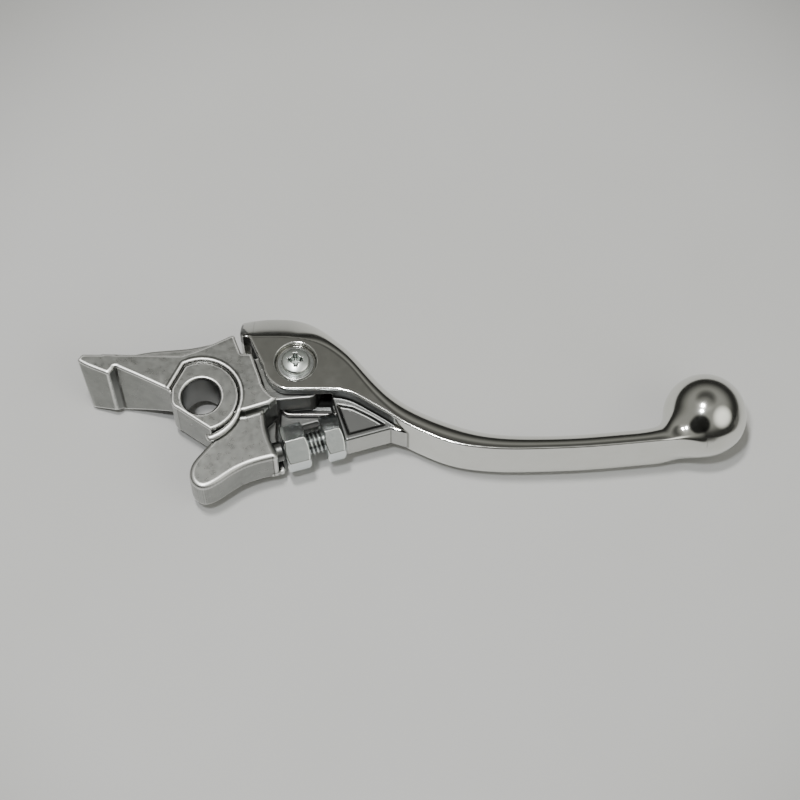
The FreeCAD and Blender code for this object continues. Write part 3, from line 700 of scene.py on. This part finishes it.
def lock_nut_field(s, a, b):
    """Hexagon nut with countersunk ends."""
    start = HEAD_LENGTH + FREE_THREAD
    end = start + NUT_LENGTH
    nut = hex_block(s, a, b, start, end, HEX_AF, HEX_TURN)
    hole = np.hypot(a, b) - BOLT_R - RUNNING_GAP
    countersink = (hole - 0.35 + np.minimum(s - start, end - s)) * 0.7
    return carve(nut, np.minimum(hole, countersink), 0.12)


def cross_recess(a, b, depth):
    """Two crossed slots and a round core, all narrower further down."""
    u = np.abs(a * math.cos(RECESS_TURN) + b * math.sin(RECESS_TURN))
    v = np.abs(b * math.cos(RECESS_TURN) - a * math.sin(RECESS_TURN))
    reach, half_width = RECESS_ARM
    arms = np.minimum(smooth_max(u - half_width + 0.12 * depth, v - reach + 0.55 * depth, 0.1),
                      smooth_max(v - half_width + 0.12 * depth, u - reach + 0.55 * depth, 0.1))
    core = np.hypot(a, b) - RECESS_CORE_R + 0.45 * depth
    return np.maximum(smooth_min(arms, core, 0.3), depth - RECESS_DEPTH)


def pivot_screw_field(s, a, b):
    """Shouldered screw with a domed, cross-recessed head."""
    seat = COUNTERBORE_FLOOR + WASHER_T
    top = seat + SCREW_HEAD_H
    radius = np.hypot(a, b)
    dome = np.sqrt(radius ** 2 + (s - top + SCREW_DOME_R) ** 2) - SCREW_DOME_R
    head = smooth_max(smooth_max(radius - SCREW_HEAD_R, dome, 0.5), seat - s, 0.15)
    head = carve(head, cross_recess(a, b, top - s), 0.15)
    shoulder = np.maximum(radius - SHOULDER_R, np.maximum(-FORK_HALF - s, s - seat - 0.3))
    ends = np.maximum(SCREW_END_Z - s, s + FORK_HALF - 0.3)
    shank = smooth_max(threaded(s, a, b, SCREW_THREAD_R, 0.8), ends, 0.15)
    return np.minimum(np.minimum(head, shoulder), shank)


def thin_nut_field(s, a, b):
    nut = hex_block(s, a, b, -LEVER_HALF - THIN_NUT_H, -LEVER_HALF, THIN_NUT_AF, math.radians(15.0))
    return carve(nut, np.hypot(a, b) - SCREW_THREAD_R - RUNNING_GAP, 0.2)


def ring_field(outer, inner, bottom, top, reach):
    """Turned ring with rounded edges."""
    def field(s, a, b):
        radius = np.hypot(a, b)
        return smooth_max(np.maximum(radius - outer, inner - radius), between(s, bottom, top), reach)
    return field


def both_shims(s, a, b):
    """The fork's two shims, one above and one below the tongue."""
    inner = FORK_HALF - SHIM_T
    upper = ring_field(SHIM_R, SHOULDER_HOLE_R, inner, FORK_HALF, 0.1)(s, a, b)
    lower = ring_field(SHIM_R, SHOULDER_HOLE_R, -FORK_HALF, -inner, 0.1)(s, a, b)
    return np.minimum(upper, lower)


def adjuster_place():
    """Origin and turn that take adjuster coordinates to the object's."""
    c, s = math.cos(ADJUSTER_ANGLE), math.sin(ADJUSTER_ANGLE)
    return np.array(ADJUSTER_START), np.array([[c, -s, 0.0], [s, c, 0.0], [0.0, 0.0, 1.0]])


def pivot_place():
    """The same for the lever pivot, whose s runs up."""
    return np.array([*LEVER_PIVOT, 0.0]), np.array([[0.0, 1.0, 0.0], [0.0, 0.0, 1.0], [1.0, 0.0, 0.0]])


# ---- Return spring ----

def spring_path():
    """Centre line of the wire: anchor leg, coil, crossing leg."""
    first = COIL_EXIT_ANGLE - 360.0 * COIL_TURNS
    anchor = polar(LEVER_PIVOT, COIL_R, first)
    path = [(*anchor, z) for z in (POCKET_TOP + 1.8, POCKET_TOP + 0.6, COIL_TOP + 0.3)]
    turns = int(COIL_TURNS * 40)
    for i in range(turns + 1):
        share = i / turns
        x, y = polar(LEVER_PIVOT, COIL_R, first + 360.0 * COIL_TURNS * share)
        path.append((x, y, COIL_TOP - share * COIL_TURNS * COIL_PITCH))
    heading = math.radians(COIL_EXIT_ANGLE + 90.0)
    x, y = path[-1][:2]
    run = (LEG_Y - y) / math.sin(heading)
    corner = np.array([x + run * math.cos(heading), LEG_Y])
    back = (np.array([x, y]) - corner) / np.linalg.norm(np.array([x, y]) - corner)
    ahead = np.array([1.0, 0.0])
    for i in range(9):
        t = i / 8
        point = corner + back * LEG_BEND_R * (1 - t) ** 2 + ahead * LEG_BEND_R * t ** 2
        path.append((*point, LEG_Z))
    path += [(x, LEG_Y, LEG_Z) for x in np.linspace(corner[0] + 2.5, LEG_END_X, 14)]
    return np.array(path)


def wire_mesh(name, path, radius, sides=12):
    """Round wire along a path."""
    tangents = np.gradient(path, axis=0)
    tangents /= np.linalg.norm(tangents, axis=1)[:, None]
    normal = np.cross(tangents[0], (1.0, 0.0, 0.0))
    points = []
    for centre, tangent in zip(path, tangents):
        normal = normal - tangent * normal.dot(tangent)
        normal /= np.linalg.norm(normal)
        side = np.cross(tangent, normal)
        for k in range(sides):
            angle = 2 * math.pi * k / sides
            out = normal * math.cos(angle) + side * math.sin(angle)
            points.append(centre + out * radius)
    faces = []
    last_ring = (len(path) - 1) * sides
    for ring in range(0, last_ring, sides):
        for k in range(sides):
            beside = (k + 1) % sides
            faces.append((ring + k, ring + beside, ring + sides + beside, ring + sides + k))
    faces += [tuple(reversed(range(sides))), tuple(range(last_ring, last_ring + sides))]
    mesh = bpy.data.meshes.new(name)
    mesh.from_pydata((np.array(points) * MM).tolist(), [], faces)
    mesh.polygons.foreach_set("use_smooth", [True] * len(mesh.polygons))
    piece = bpy.data.objects.new(name, mesh)
    bpy.context.scene.collection.objects.link(piece)
    return piece


# ---- Materials ----

# Dull dark colour: the lever's unpolished forging, and painted shade in the knocker's bore, beside the
# adjuster, on the hook's flank and on the lever's shaded walls
FORGED_AND_SHADE_COLOUR = (0.15, 0.153, 0.15)
FORGED_ROUGHNESS = 0.33


def add_node(tree, kind, links=(), values=(), **settings):
    """Node with its settings, input values and incoming links."""
    node = tree.nodes.new(kind)
    for name, value in settings.items():
        setattr(node, name, value)
    for key, value in values:
        node.inputs[key].default_value = value
    for key, socket in links:
        tree.links.new(socket, node.inputs[key])
    return node


def new_material(name, metallic):
    material = bpy.data.materials.new(name)
    material.use_nodes = True
    tree = material.node_tree
    shader = tree.nodes["Principled BSDF"]
    shader.inputs["Metallic"].default_value = metallic
    return material, tree, shader


def noise(tree, place, scale, detail, stretch=(1.0, 1.0, 1.0)):
    """Noise over the object, its scale in features per metre."""
    mapping = add_node(tree, "ShaderNodeMapping", [("Vector", place)], [("Scale", stretch)])
    return add_node(tree, "ShaderNodeTexNoise", [("Vector", mapping.outputs[0])],
                    [("Scale", scale), ("Detail", detail), ("Roughness", 0.6)]).outputs[0]


def ramp(tree, value, start, end, low, high, **settings):
    """Low up to the start, high from the end on, and between them in between."""
    return add_node(tree, "ShaderNodeMapRange", [("Value", value)],
                    [("From Min", start), ("From Max", end), ("To Min", low), ("To Max", high)],
                    **settings).outputs[0]


def smooth_ramp(tree, value, start, end, low, high):
    return ramp(tree, value, start, end, low, high, interpolation_type="SMOOTHSTEP")


def cloudy(tree, place, scale, detail, low, high):
    """Noise stretched from its usual span to low..high."""
    return ramp(tree, noise(tree, place, scale, detail), 0.3, 0.7, low, high)


def attribute(tree, name):
    return add_node(tree, "ShaderNodeAttribute", attribute_name=name).outputs["Fac"]


def blend_colours(tree, share, first, second):
    """Mix of two colours, each a value or a socket."""
    node = add_node(tree, "ShaderNodeMix", [("Factor", share)], data_type="RGBA")
    for index, colour in ((6, first), (7, second)):
        if isinstance(colour, tuple):
            node.inputs[index].default_value = (*colour, 1.0)
        else:
            tree.links.new(colour, node.inputs[index])
    return node.outputs[2]


def blend_values(tree, share, first, second):
    """Mix of two numbers, each a value or a socket."""
    node = add_node(tree, "ShaderNodeMix", [("Factor", share)], data_type="FLOAT")
    for index, value in ((2, first), (3, second)):
        if isinstance(value, float):
            node.inputs[index].default_value = value
        else:
            tree.links.new(value, node.inputs[index])
    return node.outputs[0]


def bumped(tree, shader, *layers):
    """Chain of bumps, each a height and its depth in metres."""
    normal = None
    for height, depth in layers:
        bump = add_node(tree, "ShaderNodeBump", [("Height", height)],
                        [("Strength", 1.0), ("Distance", depth)])
        if normal is not None:
            tree.links.new(normal, bump.inputs["Normal"])
        normal = bump.outputs[0]
    tree.links.new(normal, shader.inputs["Normal"])


def metal(name, dull, bright, edge_colour, crease_shade_and_grime_colour, roughness, edge_roughness, patch,
          grain, grain_depth, wave_depth=0.0, stretch=(1.0, 1.0, 1.0)):
    """Metal with cloudy colour, fine grain, bright worn edges, creases darkened with painted shade and some
    grime, and a dark colour where finish_and_shade is set, partly painted shade.
    patch and grain are features per metre, the depths are metres."""
    material, tree, shader = new_material(name, 1.0)
    place = add_node(tree, "ShaderNodeTexCoord").outputs["Object"]
    worn = ramp(tree, attribute(tree, "edge"), 0.1, 0.55, 0.0, 1.0)
    # Creases take a darker colour: painted shade, with some grime
    crease_shade_and_grime = ramp(tree, attribute(tree, "crease"), 0.08, 0.5, 0.0, 1.0)
    finish_and_shade_mix = attribute(tree, "finish_and_shade")
    cloud = cloudy(tree, place, patch, 4.0, 0.0, 1.0)
    body = blend_colours(tree, crease_shade_and_grime, blend_colours(tree, cloud, dull, bright), crease_shade_and_grime_colour)
    body = blend_colours(tree, worn, body, edge_colour)
    # Darker colour where finish_and_shade is set: painted shade, and on the lever partly the unpolished
    # finish
    tree.links.new(blend_colours(tree, finish_and_shade_mix, body, FORGED_AND_SHADE_COLOUR), shader.inputs["Base Color"])
    gloss = cloudy(tree, place, patch * 2.3, 3.0, *roughness)
    gloss = blend_values(tree, worn, gloss, edge_roughness)
    tree.links.new(blend_values(tree, finish_and_shade_mix, gloss, FORGED_ROUGHNESS), shader.inputs["Roughness"])
    fine = noise(tree, place, grain, 3.0, stretch)
    if wave_depth:
        bumped(tree, shader, (noise(tree, place, 110.0, 1.0), wave_depth), (fine, grain_depth))
    else:
        bumped(tree, shader, (fine, grain_depth))
    return material


def table_material():
    """Pale top, a painted pool of light that falls off into painted darkness away from the object."""
    material, tree, shader = new_material("table_top", 0.0)
    place = add_node(tree, "ShaderNodeTexCoord").outputs["Object"]
    cloud = cloudy(tree, place, 9.0, 3.0, 0.0, 1.0)
    pale = blend_colours(tree, cloud, (0.59, 0.59, 0.58), (0.62, 0.62, 0.62))
    away = add_node(tree, "ShaderNodeVectorMath", [(0, place)], operation="LENGTH").outputs["Value"]
    # Painted falloff of light: pale near the object, dark farther out
    dark = smooth_ramp(tree, away, TABLE_PALE_R, TABLE_DARK_R, 0.0, 1.0)
    colour = blend_colours(tree, dark, pale, (0.05, 0.05, 0.048))
    tree.links.new(colour, shader.inputs["Base Color"])
    shader.inputs["Roughness"].default_value = 0.55
    bumped(tree, shader, (noise(tree, place, 1500.0, 2.0), 0.00002))
    return material


# ---- Stage ----

def add_camera():
    data = bpy.data.cameras.new("camera")
    data.lens = LENS_MM
    data.sensor_width = SENSOR_MM
    data.clip_start = 0.01
    camera = bpy.data.objects.new("camera", data)
    bpy.context.scene.collection.objects.link(camera)
    back = Vector((0.0, -math.cos(CAMERA_ELEVATION), math.sin(CAMERA_ELEVATION)))
    camera.location = CAMERA_TARGET + back * CAMERA_DISTANCE
    camera.rotation_euler = (math.pi / 2 - CAMERA_ELEVATION, 0.0, 0.0)
    bpy.context.scene.camera = camera


def add_floor():
    bpy.ops.mesh.primitive_plane_add(size=4.0, location=(CAMERA_TARGET.x, CAMERA_TARGET.y, cad_box[0][2]))
    floor = bpy.context.object
    floor.name = "table"
    floor.data.materials.append(table_material())


def add_light(name, direction, distance, size, power, colour):
    """Square softbox that looks at the object from a direction."""
    data = bpy.data.lights.new(name, "AREA")
    data.size = size
    data.energy = power
    data.color = colour
    light = bpy.data.objects.new(name, data)
    light.location = CAMERA_TARGET + Vector(direction).normalized() * distance
    light.rotation_euler = (-Vector(direction)).to_track_quat("-Z", "Y").to_euler()
    bpy.context.scene.collection.objects.link(light)


# Room: direction, half angle in degrees at full and at none, and what it adds or the share it takes away
ROOM_GLOWS = [
    ((0.66, -0.34, 0.58), 5.0, 32.0, 1.45),
    ((-0.1, 0.1, 0.99), 6.0, 28.0, 0.16),
]
ROOM_SHADES = [
    ((-0.29, -0.73, 0.61), 21.0, 31.0, 0.95),
    ((0.0, 0.42, 0.91), 9.0, 32.0, 0.76),
]
ROOM_LOW = 0.035
ROOM_HIGH = 0.34
ROOM_RISE = (0.15, 0.72)
ROOM_TINT = (1.0, 1.0, 0.92)


def add_room():
    """Dim room, dark near the horizon, with a window and the photographer's shade."""
    world = bpy.data.worlds.new("room")
    world.use_nodes = True
    tree = world.node_tree
    direction = add_node(tree, "ShaderNodeTexCoord").outputs["Generated"]

    def lobe(towards, full, none, at_full, elsewhere):
        aim = Vector(towards).normalized()
        dot = add_node(tree, "ShaderNodeVectorMath", [(0, direction)], [(1, aim)], operation="DOT_PRODUCT")
        outside, within = math.cos(math.radians(none)), math.cos(math.radians(full))
        return smooth_ramp(tree, dot.outputs["Value"], outside, within, elsewhere, at_full)

    height = add_node(tree, "ShaderNodeSeparateXYZ", [("Vector", direction)]).outputs["Z"]
    total = smooth_ramp(tree, height, *ROOM_RISE, ROOM_LOW, ROOM_HIGH)
    for towards, full, none, share in ROOM_SHADES:
        kept = lobe(towards, full, none, 1.0 - share, 1.0)
        total = add_node(tree, "ShaderNodeMath", [(0, kept), (1, total)], operation="MULTIPLY").outputs[0]
    for towards, full, none, brightness in ROOM_GLOWS:
        glow = lobe(towards, full, none, brightness, 0.0)
        total = add_node(tree, "ShaderNodeMath", [(0, glow), (1, total)]).outputs[0]
    background = tree.nodes["Background"]
    background.inputs["Color"].default_value = (*ROOM_TINT, 1.0)
    tree.links.new(total, background.inputs["Strength"])
    bpy.context.scene.world = world


add_camera()
add_floor()
add_room()
add_light("lamp_back", (-0.12, 0.05, 0.99), 1.1, 0.11, 6.5, (1.0, 0.99, 0.96))
add_light("lamp_front", (-0.17, -0.20, 0.965), 1.1, 0.09, 4.3, (0.97, 0.99, 1.0))


# ---- Assembly ----

# Each metal's crease colour is painted shade with some grime; its edge colour is worn metal
cast = metal(
    "cast_aluminium", dull=(0.25, 0.255, 0.245), bright=(0.33, 0.335, 0.32), edge_colour=(0.90, 0.90, 0.88),
    crease_shade_and_grime_colour=(0.08, 0.08, 0.075), roughness=(0.26, 0.33), edge_roughness=0.42, patch=260.0,
    grain=4200.0, grain_depth=0.000011)
polished = metal(
    "polished_aluminium", dull=(0.72, 0.72, 0.68), bright=(0.77, 0.77, 0.74), edge_colour=(0.80, 0.80, 0.78),
    crease_shade_and_grime_colour=(0.30, 0.30, 0.28), roughness=(0.08, 0.14), edge_roughness=0.13, patch=150.0,
    grain=2500.0, grain_depth=0.0000012, wave_depth=0.000012, stretch=(0.15, 1.0, 1.0))
zinc = metal(
    "bright_zinc", dull=(0.78, 0.83, 0.84), bright=(0.88, 0.92, 0.93), edge_colour=(0.88, 0.91, 0.90),
    crease_shade_and_grime_colour=(0.20, 0.21, 0.21), roughness=(0.17, 0.27), edge_roughness=0.20, patch=700.0,
    grain=5200.0, grain_depth=0.000008)
screw_zinc = metal(
    "screw_zinc", dull=(0.72, 0.78, 0.75), bright=(0.84, 0.89, 0.86), edge_colour=(0.92, 0.95, 0.93),
    crease_shade_and_grime_colour=(0.10, 0.11, 0.10), roughness=(0.28, 0.38), edge_roughness=0.26, patch=900.0,
    grain=5200.0, grain_depth=0.000008)
washer_zinc = metal(
    "dull_zinc", dull=(0.50, 0.52, 0.51), bright=(0.60, 0.62, 0.61), edge_colour=(0.62, 0.63, 0.62),
    crease_shade_and_grime_colour=(0.10, 0.10, 0.10), roughness=(0.18, 0.24), edge_roughness=0.22, patch=700.0,
    grain=5200.0, grain_depth=0.000004)
bronze = metal(
    "bronze", dull=(0.42, 0.27, 0.12), bright=(0.55, 0.36, 0.17), edge_colour=(0.72, 0.52, 0.28),
    crease_shade_and_grime_colour=(0.20, 0.13, 0.06), roughness=(0.30, 0.42), edge_roughness=0.25, patch=600.0,
    grain=5000.0, grain_depth=0.00001)
spring_steel = metal(
    "spring_steel", dull=(0.36, 0.35, 0.34), bright=(0.46, 0.45, 0.44), edge_colour=(0.50, 0.50, 0.50),
    crease_shade_and_grime_colour=(0.20, 0.20, 0.20), roughness=(0.26, 0.36), edge_roughness=0.30, patch=600.0,
    grain=6000.0, grain_depth=0.000008)


def stands_for(piece, node, body, material):
    """Piece takes the node's place and rides its body when it is given one."""
    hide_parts(node)
    if body is not None:
        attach(piece, body)
    piece.data.materials.append(material)


def add_piece(name, node, body, material, field, low, high, step, place=None, finish_and_shade=None):
    """Piece meshed from its field in a box that holds it."""
    stands_for(mesh_field(name, field, low, high, step, place, finish_and_shade), node, body, material)


def add_pivot_piece(name, node, body, material, field, radius, low_z, high_z, step):
    """The same for a turned piece on the lever's pivot."""
    add_piece(name, node, body, material, field, (low_z, -radius, -radius),
              (high_z, radius, radius), step, pivot_place())


add_piece("knocker_casting", "knocker", "knocker_body", cast, knocker_field,
          (-31.0, -24.0, -10.7), (31.2, 17.6, 8.5), 0.25, finish_and_shade=knocker_painted_shade)
add_piece("lever_forging", "lever_blade", "lever_body", polished, lever_field,
          (7.9, -15.0, -10.7), (131.2, 24.6, 10.7), 0.3, finish_and_shade=lever_forging_and_shade)
add_piece("adjuster", "adjuster_bolt", "adjuster_body", zinc, adjuster_bolt_field,
          (-0.6, -6.5, -6.5), (22.6, 6.5, 6.5), 0.16, adjuster_place())
add_piece("lock_nut", "adjuster_lock_nut", "lock_nut_body", zinc, lock_nut_field,
          (9.2, -6.5, -6.5), (15.0, 6.5, 6.5), 0.16, adjuster_place())
add_pivot_piece("pivot_screw", "lever_pivot_screw", "lever_body", screw_zinc, pivot_screw_field,
                4.2, -10.3, 8.9, 0.13)
add_pivot_piece("washer", "pivot_washer", "lever_body", washer_zinc,
                ring_field(WASHER_R, SHOULDER_HOLE_R, COUNTERBORE_FLOOR, COUNTERBORE_FLOOR + WASHER_T, 0.15),
                5.0, 5.0, 6.6, 0.12)
add_pivot_piece("bush", "pivot_bush", "knocker_body", bronze,
                ring_field(BUSH_R, BUSH_BORE_R, -TONGUE_HALF - 0.04, TONGUE_HALF + 0.04, 0.25),
                4.4, -4.1, 4.1, 0.16)
add_pivot_piece("shims", "fork_shims", "lever_body", zinc, both_shims, 5.1, -4.3, 4.3, 0.1)
add_pivot_piece("thin_nut", "pivot_lock_nut", "lever_body", zinc, thin_nut_field,
                5.2, -10.2, -6.5, 0.14)
spring_piece = wire_mesh("spring", spring_path(), WIRE_R)
stands_for(spring_piece, "return_spring", None, spring_steel)
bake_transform(spring_piece)
